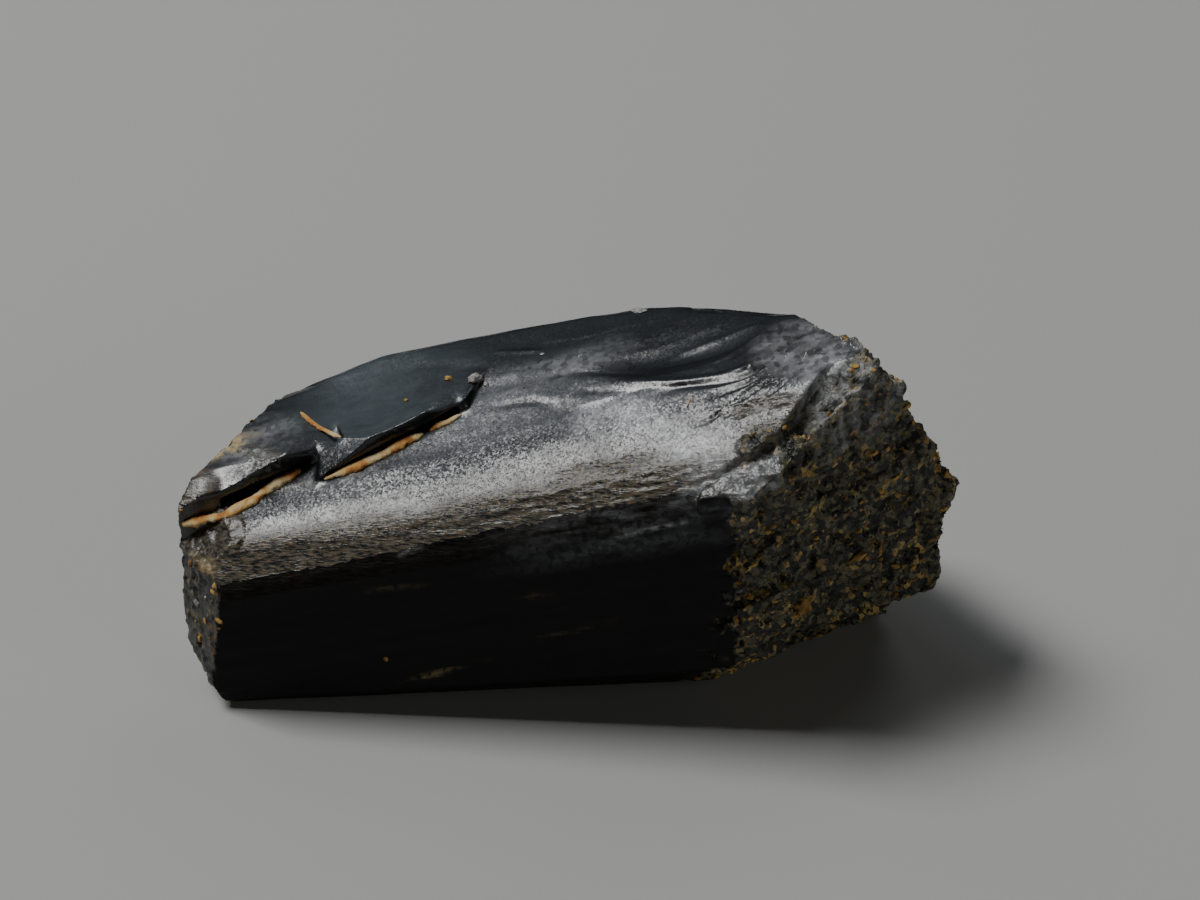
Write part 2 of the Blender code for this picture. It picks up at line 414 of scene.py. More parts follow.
# Curved ribs and grooves where the top breaks away toward its corner, and fainter ones in the hollow behind: the
# marks of each line in plan, its height and its width.
RIBS = [
    ([(12.33, 4.37), (13.3, 4.2), (14.82, 3.81), (16.5, 3.89), (17.07, 4.44), (17.64, 5.22), (18.17, 5.63)],
     0.05, 0.13),
    ([(13.74, 3.43), (14.83, 3.65), (16.08, 3.48), (16.81, 3.56), (17.47, 4.08), (17.96, 4.49), (18.75, 4.94)],
     -0.055, 0.13),
    ([(15.37, 3.36), (16.52, 3.33), (17.39, 3.83), (17.82, 4.37), (18.69, 4.79)], 0.06, 0.12),
    ([(15.0, 2.1), (15.74, 2.25), (16.6, 2.75), (17.4, 3.4), (18.1, 4.1)], -0.05, 0.07),
    ([(13.52, 4.53), (14.56, 5.34), (15.74, 5.81), (16.81, 6.2), (17.49, 6.47)], 0.035, 0.13),
    ([(15.2, 4.35), (16.2, 4.75), (17.0, 5.5), (17.7, 6.1), (18.3, 6.5)], 0.06, 0.10),
    ([(16.0, 4.2), (16.9, 4.9), (17.5, 5.6), (18.2, 6.1), (18.7, 6.3)], 0.05, 0.08),
    ([(17.2, 4.0), (17.8, 4.75), (18.4, 5.3), (19.1, 5.65)], -0.05, 0.08),
    ([(17.6, 3.9), (18.2, 4.6), (18.8, 5.1), (19.4, 5.3)], 0.06, 0.09),
    ([(18.2, 3.9), (18.7, 4.4), (19.3, 4.8), (19.9, 5.0)], 0.07, 0.09),
    ([(12.25, 5.6), (13.45, 5.73), (14.94, 6.18), (16.12, 6.82), (16.57, 7.04)], 0.018, 0.12),
    ([(10.98, 6.24), (12.2, 6.32), (13.41, 6.4), (14.6, 6.99), (15.18, 7.51)], 0.018, 0.13),
    ([(9.84, 5.25), (11.47, 5.07), (13.59, 4.56)], -0.025, 0.12),
    ([(11.52, 4.35), (12.6, 4.0), (13.63, 3.77)], -0.02, 0.10),
    ([(8.85, 4.37), (10.54, 4.13), (12.39, 3.5)], -0.02, 0.12),
    ([(8.75, 6.8), (9.7, 6.6), (10.5, 6.47)], 0.03, 0.10),
]
for marks, height, width in RIBS:
    lift += rib(marks, height, width)
# Treads fan out in front of the first rib.
lift += fan(RIBS[0][0][2:] + [(18.8, 5.9)], 2.0, 0.4, 0.24, seed=41.0)
TERRACES = [  # marks, height, and how far behind the line it runs out
    ([(9.36, 5.1), (11.57, 3.68), (13.86, 3.94), (15.6, 3.5)], 0.035, 0.6),
    ([(15.74, 1.93), (16.27, 2.43), (17.12, 3.02), (17.69, 3.6), (18.26, 4.15), (18.76, 4.08)], 0.07, 0.7),
    ([(10.0, 6.9), (12.0, 6.9), (13.8, 7.3)], 0.03, 0.5),
]
for marks, height, fade in TERRACES:
    lift += terrace(marks, height, fade)
# Small patches by the break, wrinkled like the bevel.
patch_a, _ = beside([(16.57, 2.29), (17.6, 2.4), (18.66, 2.34)], 1.5)
patch_b, _ = beside([(16.9, 1.6), (17.4, 1.7), (17.95, 1.74)], 1.5)
patches = up * np.maximum(smooth_step(0.34, 0.15, np.abs(patch_a)), smooth_step(0.22, 0.1, np.abs(patch_b)))
lift += patches * 0.035 * grain(patches, 0.14, 2, (4, 1, 1), seed=31.0)
# The ledge: a few flat flakes, chipped along the rim.
lift += break_rim * (1 - broken) * 0.04 * chips(break_rim, 0.5, 0.5, (2, 1, 1), seed=14.0)
lift += ledge * (chips(ledge, 0.9, 0.3, (1.6, 1, 1), seed=9.0) * 0.15 + 0.010 * grain(ledge, 0.2, 3, seed=10.0))
# The broken end: hackly chips of two sizes with steps between them, the larger ones drawn out along the crystal,
# then grain over them, and hollows where lumps have come away.
lift += broken * (chips(broken, 1.0, 0.45, (1.6, 1.6, 1)) * 0.28 + chips(broken, 0.42, 0.7, seed=5.0) * 0.26)
lift += broken * (0.12 * grain(broken, 1.0, 2) + 0.05 * grain(broken, 0.3, 3, seed=3.0) - 0.05)
lift -= broken * 0.14 * smooth_step(0.5, 1.0, grain(broken, 0.7, 3, seed=16.0))
# Short flutes down the break just under its upper corner, each from one place in X and Z to another.
FLUTES = [
    ((19.48, 11.28), (20.47, 11.78)), ((20.0, 10.95), (20.5, 11.6)), ((20.25, 10.7), (20.68, 11.4)),
    ((20.55, 10.2), (21.25, 10.45)),
]
FLUTE_HEIGHT, FLUTE_WIDTH = 0.12, 0.12
for (x0, z0), (x1, z1) in FLUTES:
    run = np.array([x1 - x0, z1 - z0])
    off = points[:, ::2] - np.array([x0, z0])
    t = np.clip(off @ run / (run @ run), 0, 1)
    distance = np.linalg.norm(off - t[:, None] * run, axis=1)
    lift += broken * FLUTE_HEIGHT * np.exp(-((distance / FLUTE_WIDTH) ** 2))
PITS = [  # X, Y, Z, radius, depth
    (17.64, 0.68, 10.58, 0.30, 0.26), (18.68, 1.51, 9.46, 0.34, 0.30), (19.49, 2.21, 10.92, 0.34, 0.28),
    (18.2, 1.1, 10.2, 0.22, 0.15), (19.3, 1.95, 9.9, 0.25, 0.14), (20.2, 2.75, 8.3, 0.3, 0.14),
    (18.2, 1.1, 7.2, 0.22, 0.12), (21.3, 3.6, 6.5, 0.28, 0.15), (19.0, 1.7, 5.4, 0.25, 0.12),
]
for place_and_size in PITS:
    lift += pit(*place_and_size)
# The thin end's small rough faces.
lift += thin_end * (chips(thin_end, 0.4, 0.5, seed=8.0) * 0.25 + 0.035 * grain(thin_end, 0.3, 3, seed=4.0))
notch = on_face("notch")
lift += notch * (chips(notch, 0.5, 0.4, seed=18.0) * 0.25 + 0.03 * grain(notch, 0.3, 3, seed=19.0))
# The front bevel: fine wrinkles that run along the crystal, coarser toward the broken end, where they also cross
# onto the strip's lower margin.
coarser = smooth_step(5.0, 14.0, lengthways)
margin = (strip * smooth_step(-0.42, -0.24, gap_to(FACES["bevel"], points))
          * smooth_step(9.0, 12.5, lengthways))
margin *= 1 - 0.8 * smooth_step(13.6, 14.8, lengthways)
wrinkled = np.maximum(bevel, margin)
lift += wrinkled * (0.010 + 0.020 * coarser) * grain(wrinkled, 0.15, 2, (5, 1, 1), seed=11.0)
lift += wrinkled * (0.01 + 0.02 * coarser) * grain(wrinkled, 0.6, 2, (4, 1, 1), seed=12.0)
# A thin splintered line under the front bevel, where a little of the prism face has lifted: its marks in X and Z,
# and its height.
EDGE_LINES = [
    ([(12.5, 6.98), (13.3, 7.35), (14.1, 7.66), (15.0, 7.95), (15.8, 8.27)], 0.07),
    ([(6.5, 6.1), (7.0, 6.28), (7.5, 6.48)], 0.05),
]
EDGE_LINE_WIDTH = 0.05
for marks, height in EDGE_LINES:
    side, along = beside(marks, 0.4, (0, 2))
    ends = run_out(along, 0.3) * (points[:, 1] < 0.6)
    lift += height * ends * np.exp(-((side / EDGE_LINE_WIDTH) ** 2))
# The prism faces and the back: growth lines along the crystal, a few of them deep, and shallow swells.
back = any_face("back_prism", "back_edge_thin", "back_edge_middle", "back_edge_broken", "lower_back")
sides = np.maximum(back, any_face("front", "front_upper", "lower_bevel"))
growth = grain(sides, 0.45, 3, (14, 1, 1), seed=61.0)
lift += (0.010 + 0.018 * back) * sides * growth
lift += 0.05 * back * grain(back, 2.2, 2, (3, 1, 1), seed=62.0)
lift -= 0.06 * back * smooth_step(0.35, 0.6, grain(back, 1.1, 3, (4, 1, 1), seed=63.0))
for first, second in (
    ("back_prism", "back_edge_middle"), ("back_prism", "back_edge_thin"), ("back_prism", "lower_back"),
    ("back_edge_middle", "back_top"), ("thin_back", "back_prism"),
):
    lift += worn_edge(first, second, 0.12 * uneven)

points += normals * lift[:, None]
points[:, 1:] = np.maximum(points[:, 1:], (-PROUD, 0.0))  # none of it past the ledge or below the table
write(points)
surface.transform(Matrix.Translation(FOOT) @ Matrix.Scale(MM, 4))

# Clay film: thin and cream on the plate by the thin end and in the notch, and tan streaks of it on the front face.
film_line, film_along = beside([(-0.3, 3.0), (0.2, 3.75), (0.8, 4.25), (1.6, 4.8)], 1.5)
clay_film = smooth_step(0.45, 0.1, np.abs(film_line) + 0.22 * grain(up, 0.4, 3, seed=71.0))
clay_film *= up * smooth_step(0.0, 0.1, film_along) * smooth_step(1.0, 0.8, film_along)
notch_line, _ = beside([(-0.1, 1.3), (0.3, 0.9), (0.7, 0.6)], 1.0)
notch_film = (0.6 * smooth_step(0.4, 0.1, np.abs(notch_line)) * smooth_step(5.6, 5.2, points[:, 2])
              * smooth_step(4.6, 4.9, points[:, 2]))
clay_film = np.maximum(clay_film, notch_film)
FRONT_STREAKS = [  # marks in X and Z, width, strength
    ([(6.51, 1.24), (7.6, 1.78), (8.4, 2.1), (9.66, 2.62)], 0.07, 0.5),
    ([(10.82, 3.32), (12.0, 3.78), (13.17, 4.15)], 0.06, 0.45),
    ([(5.2, 4.9), (6.5, 5.05), (7.6, 5.3)], 0.10, 0.16),
    ([(10.2, 5.1), (10.6, 5.0), (10.9, 5.05)], 0.10, 0.3),
]
front = on_face("front")
for marks, width, strength in FRONT_STREAKS:
    side, along = beside(marks, 0.6, (0, 2))
    ragged_side = np.abs(side) + 0.06 * grain(front, 0.25, 3, (4, 1, 1), seed=72.0)
    streak = smooth_step(width, 0.0, ragged_side) * run_out(along, 0.3) * front
    clay_film = np.maximum(clay_film, strength * streak)

# Pale patches on the crystal's skin, mostly painted highlight: a narrow glint at the near end of the strip, narrow
# highlights on the two lifted lines, and cloudy patches in the places listed.
strip_glint_line, _ = beside([(6.3, 1.37), (6.9, 1.25), (7.5, 1.12)], 0.8)
sheen_and_scuffs = 0.6 * up * smooth_step(0.3, 0.05, np.abs(strip_glint_line) + 0.1 * grain(up, 0.4, 3, seed=73.0))
front_edge = (points[:, 1] < 0.6) * smooth_step(5.5, 6.0, points[:, 2])
for marks, _ in EDGE_LINES:
    side, along = beside(marks, 0.4, (0, 2))
    lit_line = smooth_step(0.09, 0.02, np.abs(side)) * run_out(along, 0.3) * (points[:, 1] < 0.6)
    sheen_and_scuffs = np.maximum(sheen_and_scuffs, 0.7 * lit_line * (0.6 + 0.6 * grain(front_edge, 0.2, 3)))
run_together_line, _ = beside([(12.4, 3.1), (13.6, 2.6), (14.6, 1.9), (15.5, 1.1)], 3.0)
hot_zone_sheen = up * smooth_step(1.0, 0.3, np.abs(run_together_line) + 0.25 * grain(up, 1.5, 2, seed=51.0))
lit_upper_corner = up * smooth_step(1.9, 0.8, np.linalg.norm(points[:, :2] - np.array([18.4, 4.7]), axis=1))
lit_flutes = smooth_step(2.4, 1.0, distance_to(19.8, 2.8, 10.8))
plate_corner = up * smooth_step(1.9, 0.8, distance_to(1.7, 4.1, 7.2))
behind_line, along = beside([(8.6, 4.9), (10.3, 5.3), (12.2, 5.7), (13.6, 6.0)], 1.6)
behind_ridge = (up * smooth_step(1.1, 0.2, np.abs(behind_line)) * smooth_step(0.0, 0.1, along)
                * smooth_step(1.0, 0.7, along))
hem = on_face("front_upper") * smooth_step(8.0, 12.5, lengthways)
# Painted highlight where the strip and the broad top run together, on the top's upper corner, down the flutes
# and on the ledge; the plate's corner, a ridge on the top and the front's upper facet are only made paler.
SHEEN_AND_SCUFF_PATCHES = [  # where, how strong, its steady and its cloudy share, then the size, stretch and seed of its clouds
    (hot_zone_sheen, 1.0, 0.75, 0.25, 0.6, (1, 1, 1), 52.0),
    (lit_upper_corner, 0.9, 0.7, 0.5, 0.5, (3, 1, 1), 53.0),
    (lit_flutes, 1.0, 0.6, 0.5, 0.4, (1, 1, 1), 54.0),
    (ledge, 0.6, 0.8, 0.4, 0.3, (1, 1, 1), 56.0),
    (plate_corner, 0.5, 0.7, 0.5, 0.5, (2, 1, 1), 57.0),
    (behind_ridge, 0.4, 0.7, 0.6, 0.4, (3, 1, 1), 58.0),
    (hem, 0.2, 0.7, 0.6, 0.3, (3, 1, 1), 59.0),
]
for where, strength, steady, cloudy, size, stretch, seed in SHEEN_AND_SCUFF_PATCHES:
    sheen_and_scuffs = np.maximum(sheen_and_scuffs, strength * where * (steady + cloudy * grain(where, size, 3, stretch, seed)))
sheen_and_scuffs = np.clip(sheen_and_scuffs * (1 - 0.5 * margin), 0, 1)

# Dust lies on the plate, in a patch that runs out raggedly.
plate_dust = distance_to(5.3, 5.4, 8.4) + 0.9 * grain(up, 1.6, 3, (2, 1, 1), seed=60.0)
plate_dust = up * smooth_step(3.8, 1.4, plate_dust)
# The finishes read these from the mesh. The glitter is strongest on the sheen and scuff patches, the ledge and the
# thin end, and it grows along the strip toward the broken end.
masks = {
    "brown": np.maximum.reduce([
        wrinkled * (1 - 0.8 * ledge), patches * 0.8, 0.1 * ledge, 0.7 * on_face("plate_end"), 0.7 * notch,
    ]),
    "hackly": np.maximum.reduce([broken, 0.25 * thin_end, 0.1 * ledge]),
    "sheen_and_scuffs": sheen_and_scuffs,
    "sparkle": np.maximum.reduce([
        sheen_and_scuffs, strip * (0.5 + 0.5 * smooth_step(1.0, 8.0, lengthways)), 0.8 * ledge,
        0.12 * on_face("broad_top"), 0.3 * on_face("back_top"), thin_end,
    ]),
    "dust": plate_dust * (0.85 + 0.3 * grain(plate_dust, 0.22, 3, seed=55.0)),
    "clay": clay_film,
    # The faces that look down, which take the darker copy of the finish as painted shade.
    "painted_shade_faces": any_face("front", "front_upper", "lower_bevel") * (1 - bitten),
}
for name, values in masks.items():
    attribute = surface.attributes.new(name, "FLOAT", "POINT")
    attribute.data.foreach_set("value", values.astype(np.float32))
# Thinned to what an exported mesh may hold, where the surface is flat first.
dense = bpy.data.objects.new("dense", surface)
thinned = dense.modifiers.new("thinned", "DECIMATE")
thinned.ratio = CRYSTAL_TRIANGLES / (2 * len(surface.polygons))
thinned.use_collapse_triangulate = True
weighted = dense.modifiers.new("weighted", "WEIGHTED_NORMAL")
weighted.weight = 75
surface.shade_smooth()
crystal_mesh = shown(dense)
crystal_mesh.name = "columbite_crystal_surface"
crystal = standing("columbite_crystal_surface", crystal_mesh)


def colour(hex_code):
    """An sRGB hex colour as linear RGBA."""
    channels = [int(hex_code[i : i + 2], 16) / 255 for i in (1, 3, 5)]
    linear = [c / 12.92 if c <= 0.04045 else ((c + 0.055) / 1.055) ** 2.4 for c in channels]
    return (*linear, 1.0)


def add(tree, kind, inputs=None, output=0, **settings):
    """A node with its settings and its inputs, each a value or the output that feeds it. Gives one output."""
    node = tree.nodes.new(kind)
    for name, value in settings.items():
        setattr(node, name, value)
    for name, given in (inputs or {}).items():
        if isinstance(given, bpy.types.NodeSocket):
            tree.links.new(given, node.inputs[name])
        else:
            node.inputs[name].default_value = given
    return node.outputs[output]


def finish(name, constants):
    """A new material, its node tree and its shader, with the values that are the same all over set on it."""
    material = bpy.data.materials.new(name)
    material.use_nodes = True
    shader = material.node_tree.nodes["Principled BSDF"]
    for socket, value in constants.items():
        shader.inputs[socket].default_value = value
    return material, material.node_tree, shader


FACET = 0.06  # the glitter's facets: the real ones are about ten times finer, too fine to show
BREAK_GRAIN = 0.17  # the grains of the hackly break


def columbite(name, ior, roughness, tilt, black, brown_film, rust):
    """The black mineral: film, painted sheen and scuffs, dust, clay and the break's crust come in by attribute."""
    material, tree, shader = finish(name, {"IOR": ior})
    brown, hackly, sheen_and_scuffs, sparkle, dust, clay = (
        add(tree, "ShaderNodeAttribute", output="Fac", attribute_name=kind, attribute_type="GEOMETRY")
        for kind in ("brown", "hackly", "sheen_and_scuffs", "sparkle", "dust", "clay")
    )
    metres = add(tree, "ShaderNodeTexCoord", output="Object")
    place_mm = add(tree, "ShaderNodeVectorMath", {0: metres, "Scale": 1 / MM}, operation="SCALE")
    along = add(tree, "ShaderNodeMapping",  # drawn out five times along the crystal
                {"Vector": place_mm, "Rotation": (0, slope, 0), "Scale": (1 / 5, 1, 1)})
    clouds = {  # noise from 0 to 1, by the size of its clouds in millimetres
        size: add(tree, "ShaderNodeTexNoise", {"Vector": place_mm, "Scale": 1 / size})
        for size in (0.04, 0.08, 0.12, 0.2, 0.5, 0.8)
    }
    streaks = {
        size: add(tree, "ShaderNodeTexNoise", {"Vector": along, "Scale": 1 / size}) for size in (0.05, 0.07)
    }
    ragged = add(tree, "ShaderNodeTexNoise", {"Vector": place_mm, "Scale": 1 / 0.1}, "Color")
    bent_mm = add(tree, "ShaderNodeVectorMath", {0: ragged, 1: (0.04, 0.04, 0.04), 2: place_mm},
                  operation="MULTIPLY_ADD")
    # Grains of the break, with ragged outlines: three chances from 0 to 1 for each.
    grains = add(tree, "ShaderNodeTexVoronoi", {"Vector": bent_mm, "Scale": 1 / BREAK_GRAIN}, "Color")
    red, green, blue = add(tree, "ShaderNodeSeparateColor", {"Color": grains}).node.outputs

    # Colour: black, with brown film on the wrinkled parts, and pale grey painted sheen and scuffs, dust and clay
    # in places. The break's grains are green-black to olive grey, and ochre in clusters where iron has stained
    # them.
    filmed = add(tree, "ShaderNodeMapRange",
                 {"Value": streaks[0.07], "From Min": 0.38, "From Max": 0.6, "To Max": brown},
                 interpolation_type="SMOOTHSTEP")
    rusty, paler, cluster, clayey, sheen_and_scuff_amount = (
        add(tree, "ShaderNodeMapRange", {"Value": cloud, "From Min": low, "From Max": high, "To Max": most})
        for cloud, low, high, most in (
            (clouds[0.12], 0.63, 0.7, 1.0), (red, 0.45, 1.1, 1.0), (clouds[0.5], 0.46, 0.66, 0.7),
            (clouds[0.2], 0.3, 0.6, clay), (blue, -0.3, 0.8, sheen_and_scuffs),
        )
    )
    stained = add(tree, "ShaderNodeMath", {0: green, 1: cluster}, operation="ADD")
    ochre = add(tree, "ShaderNodeMapRange",
                {"Value": stained, "From Min": 1.16, "From Max": 1.22, "To Max": hackly})
    film, ground, rusted, cream = (
        add(tree, "ShaderNodeMix", {0: amount, 6: colour(one), 7: colour(other)}, 2, data_type="RGBA")
        for amount, one, other in (
            (rusty, brown_film, rust), (paler, "#14150F", "#86825E"), (blue, "#7E6430", "#D8B66C"),
            (clouds[0.8], "#D8CE96", "#B07A40"),
        )
    )
    tone = colour(black)
    for amount, over in (
        (dust, colour("#464F54")), (filmed, film), (hackly, ground), (ochre, rusted),
        (sheen_and_scuff_amount, colour("#AEB0B4")), (clayey, cream),
    ):
        tone = add(tree, "ShaderNodeMix", {0: amount, 6: tone, 7: over}, 2, data_type="RGBA")
    tree.links.new(tone, shader.inputs["Base Color"])

    # Roughness: a little patchy, rougher on film and clay, and a touch rougher where it glitters.
    rough = add(tree, "ShaderNodeMapRange", {
        "Value": clouds[0.8], "From Min": 0.3, "From Max": 0.7,
        "To Min": roughness - 0.04, "To Max": roughness + 0.04,
    })
    for mask, more in ((brown, 0.12), (clay, 0.4), (sparkle, 0.05)):
        rough = add(tree, "ShaderNodeMath", {0: mask, 1: more, 2: rough}, operation="MULTIPLY_ADD")
    tree.links.new(rough, shader.inputs["Roughness"])

    # Relief too fine for the mesh, in millimetres: grain all over, wrinkles along the film, crumbly crust on the
    # break.
    fine = add(tree, "ShaderNodeMapRange", {"Value": sparkle, "To Min": 0.0025, "To Max": 0.006})
    relief = add(tree, "ShaderNodeMath", {0: clouds[0.04], 1: fine}, operation="MULTIPLY")
    crust = add(tree, "ShaderNodeMath", {0: red, 1: clouds[0.08]}, operation="ADD")
    for height, mask, depth in ((streaks[0.05], brown, 0.022), (crust, hackly, 0.07)):
        masked = add(tree, "ShaderNodeMath", {0: height, 1: mask}, operation="MULTIPLY")
        relief = add(tree, "ShaderNodeMath", {0: masked, 1: depth, 2: relief}, operation="MULTIPLY_ADD")
    bumped = add(tree, "ShaderNodeBump", {"Height": relief, "Distance": MM})
    # Glitter: flat facets, each tilted a few degrees its own way, the most where it sparkles.
    facets = add(tree, "ShaderNodeTexVoronoi", {"Vector": place_mm, "Scale": 1 / FACET}, "Color")
    leaning = add(tree, "ShaderNodeVectorMath", {0: facets, 1: (0.5, 0.5, 0.5)}, operation="SUBTRACT")
    amount = add(tree, "ShaderNodeMapRange", {"Value": sparkle, "To Min": 0.25 * tilt, "To Max": tilt})
    lean = add(tree, "ShaderNodeVectorMath", {0: leaning, "Scale": amount}, operation="SCALE")
    facing = add(tree, "ShaderNodeVectorMath", {0: bumped, 1: lean}, operation="ADD")
    even = add(tree, "ShaderNodeVectorMath", {0: facing}, operation="NORMALIZE")
    tree.links.new(even, shader.inputs["Normal"])
    return material


FINISHES = [  # name, IOR, roughness, how far its facets tilt, and the colours of mineral, film and rust
    # Natural growth face of columbite: a satin iron-black that glitters finely where light skims it.
    ("columbite_satin_face", 1.75, 0.29, 0.27, "#131518", "#6A6250", "#8A5A3C"),
    # Painted shade: the satin face made nearly matt black, with hardly a reflection, on the sides that look down.
    ("columbite_painted_shade_prism_face", 1.25, 0.45, 0.1, "#060607", "#1A1612", "#2A1A12"),
    # Hackly break: tiny faces tilted every way, so bright points stand among green-black and ochre grains.
    ("columbite_hackly_break", 1.6, 0.40, 0.6, "#131518", "#5E5244", "#8A5A3C"),
]
crystal_mesh.materials.clear()
for settings in FINISHES:
    crystal_mesh.materials.append(columbite(*settings))
corner_vertices = np.empty(len(crystal_mesh.loops), np.int32)
crystal_mesh.loops.foreach_get("vertex_index", corner_vertices)
finish_of_face = np.zeros(len(crystal_mesh.polygons), np.int32)
# The faces that look down take the painted-shade copy of the finish, and the break takes its own.
for number, name in ((1, "painted_shade_faces"), (2, "hackly")):
    values = np.empty(len(crystal_mesh.vertices), np.float32)
    crystal_mesh.attributes[name].data.foreach_get("value", values)
    finish_of_face[values[corner_vertices].reshape(-1, 3).mean(1) > 0.5] = number
crystal_mesh.polygons.foreach_set("material_index", finish_of_face)
crystal_mesh.attributes.remove(crystal_mesh.attributes["painted_shade_faces"])

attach(crystal, "root")
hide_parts("columbite_crystal")


# Clay: cream to orange limonitic clay that washed into the partings and dried there, a soft lumpy bead in the
# corner at the foot of each stretch of the plate's broken edge. Each is a tube, sunk a little into the crystal.
BEAD_SIDES = 14
BEAD_STEP = 0.035
BEAD_SINK = 0.09
BEAD_TAPER = 0.25  # the length over which an end narrows


def bead(marks, widths, flatness, seed, name):
    """A lumpy bead along a curved line, as wide at each mark as its list says, tapering to nothing at the ends."""
    line = curve_through(marks, 24)
    lengths = np.concatenate([[0], np.cumsum(np.linalg.norm(np.diff(line, axis=0), axis=1))])
    stations = np.arange(0, lengths[-1], BEAD_STEP)
    middle = np.stack([np.interp(stations, lengths, a) for a in line.T], axis=1)
    width = np.interp(stations / lengths[-1], np.linspace(0, 1, len(widths)), widths)
    left = lengths[-1] - stations
    width *= np.sqrt(np.clip(stations / BEAD_TAPER, 0.0, 1) * np.clip(left / BEAD_TAPER, 0.0, 1))
    shape = bmesh.new()
    rings = []
    for k, (centre, w) in enumerate(zip(middle, width)):
        run = middle[min(k + 1, len(middle) - 1)] - middle[max(k - 1, 0)]
        across = np.cross([0, 0, 1], run)
        across /= np.linalg.norm(across)
        over = np.cross(run, across)
        over /= np.linalg.norm(over)
        wander = noise.noise(Vector((k * BEAD_STEP / 0.5, seed, 0.5))) * 0.12 * w
        ring = []
        for turn in np.arange(BEAD_SIDES) * math.tau / BEAD_SIDES:
            spot = (centre - np.array([0, 0, BEAD_SINK]) + across * (math.cos(turn) * w / 2 + wander)
                    + over * math.sin(turn) * w / 2 * flatness)
            lump = 1 + 0.35 * noise.fractal(Vector(spot) / 0.16 + Vector((seed, 0, 0)), 0.9, 2.1, 3)
            ring.append(shape.verts.new(place(*(centre + (spot - centre) * max(lump, 0.3)))))
        rings.append(ring)
    for first, second in zip(rings[:-1], rings[1:]):
        for k in range(BEAD_SIDES):
            shape.faces.new([first[k], first[k - 1], second[k - 1], second[k]])
    shape.faces.new(rings[0])
    shape.faces.new(reversed(rings[-1]))
    bmesh.ops.recalc_face_normals(shape, faces=shape.faces)
    mesh = bpy.data.meshes.new(name)
    shape.to_mesh(mesh)
    shape.free()
    mesh.shade_smooth()
    piece = standing(name, mesh)
    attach(piece, "root")
    return piece


CLAY_BEADS = {  # the marks of each bead, and its widths at them
    "clay_left": (
        [(-0.31, 2.14, 5.59), (0.01, 2.09, 5.67), (0.5, 2.09, 5.81), (1.07, 2.09, 5.98), (1.55, 2.33, 6.17),
         (1.97, 2.5, 6.34), (2.24, 2.75, 6.47), (2.54, 2.95, 6.61), (2.9, 3.14, 6.76), (3.31, 3.35, 6.93)],
        [0.30, 0.38, 0.34, 0.28, 0.42, 0.38, 0.28, 0.44, 0.38, 0.24],
    ),
    "clay_right": (
        [(3.92, 2.79, 6.98), (4.3, 2.83, 7.1), (4.73, 2.95, 7.26), (5.08, 3.01, 7.37), (5.36, 3.12, 7.48),
         (5.78, 3.28, 7.64), (6.2, 3.47, 7.81), (6.62, 3.66, 7.97), (7.02, 3.79, 8.12)],
        [0.14, 0.20, 0.34, 0.42, 0.34, 0.30, 0.42, 0.38, 0.26],
    ),
    "clay_right_end": (
        [(7.2, 3.86, 8.18), (7.33, 3.93, 8.24), (7.55, 4.02, 8.33), (7.79, 4.07, 8.41), (8.15, 4.29, 8.57)],
        [0.20, 0.28, 0.24, 0.20, 0.12],
    ),
}


def earthy(name, constants, cloud_size, detail, first, others, pore_size, depth):
    """An earthy mineral: a colour with others clouded over it, each from one noise value to another, and pores."""
    material, tree, shader = finish(name, constants)
    metres = add(tree, "ShaderNodeTexCoord", output="Object")
    clouds = add(tree, "ShaderNodeTexNoise", {"Vector": metres, "Scale": 1 / (cloud_size * MM), "Detail": detail})
    tone = colour(first)
    for low, high, over in others:
        amount = add(tree, "ShaderNodeMapRange", {"Value": clouds, "From Min": low, "From Max": high})
        tone = add(tree, "ShaderNodeMix", {0: amount, 6: tone, 7: colour(over)}, 2, data_type="RGBA")
    tree.links.new(tone, shader.inputs["Base Color"])
    pores = add(tree, "ShaderNodeTexNoise", {"Vector": metres, "Scale": 1 / (pore_size * MM), "Detail": detail})
    bumped = add(tree, "ShaderNodeBump", {"Height": pores, "Distance": depth * MM})
    tree.links.new(bumped, shader.inputs["Normal"])
    return material


# Dry limonitic clay: earthy and matt, cream where it is thick and orange to brown where iron has stained it.
clay = earthy("dry_limonitic_clay", {"Roughness": 0.85}, 0.5, 3.0,
              "#E8D2A2", [(0.38, 0.54, "#D8A860"), (0.52, 0.66, "#B8703A")], 0.06, 0.03)
for seed, (name, (marks, widths)) in enumerate(CLAY_BEADS.items()):
    bead(marks, widths, 0.6, seed * 7.0, name).data.materials.append(clay)


# Limonite: earthy, iron-stained crumbs stuck in patches on the broken end and the thin end, left there as water
# dried in the hollows of the break. They are scattered by the crust's own attribute, the smallest the most common.
RAGGED_SIZE, RAGGED_SHOVE = 0.06, 0.08  # how fine and how far the crumbs' outlines are shoved about
tree = bpy.data.node_groups.new("scattered_crumbs", "GeometryNodeTree")
sockets = {}
for name, kind, value in (
    ("Geometry", "NodeSocketGeometry", None), ("Crumbs per square metre", "NodeSocketFloat", 14.0e6),
    ("Smallest", "NodeSocketFloat", 0.02 * MM), ("Largest", "NodeSocketFloat", 0.16 * MM),
    ("Patch size", "NodeSocketFloat", 0.9 * MM), ("Clear of the table", "NodeSocketFloat", 0.3 * MM),
    ("Seed", "NodeSocketInt", 4), ("Material", "NodeSocketMaterial", None),
):
    socket = tree.interface.new_socket(name, in_out="INPUT", socket_type=kind)
    sockets[name] = (socket.identifier, value)
tree.interface.new_socket("Geometry", in_out="OUTPUT", socket_type="NodeSocketGeometry")
given = add(tree, "NodeGroupInput").node.outputs
position = add(tree, "GeometryNodeInputPosition")
patch_scale = add(tree, "ShaderNodeMath", {0: 1.0, 1: given["Patch size"]}, operation="DIVIDE")
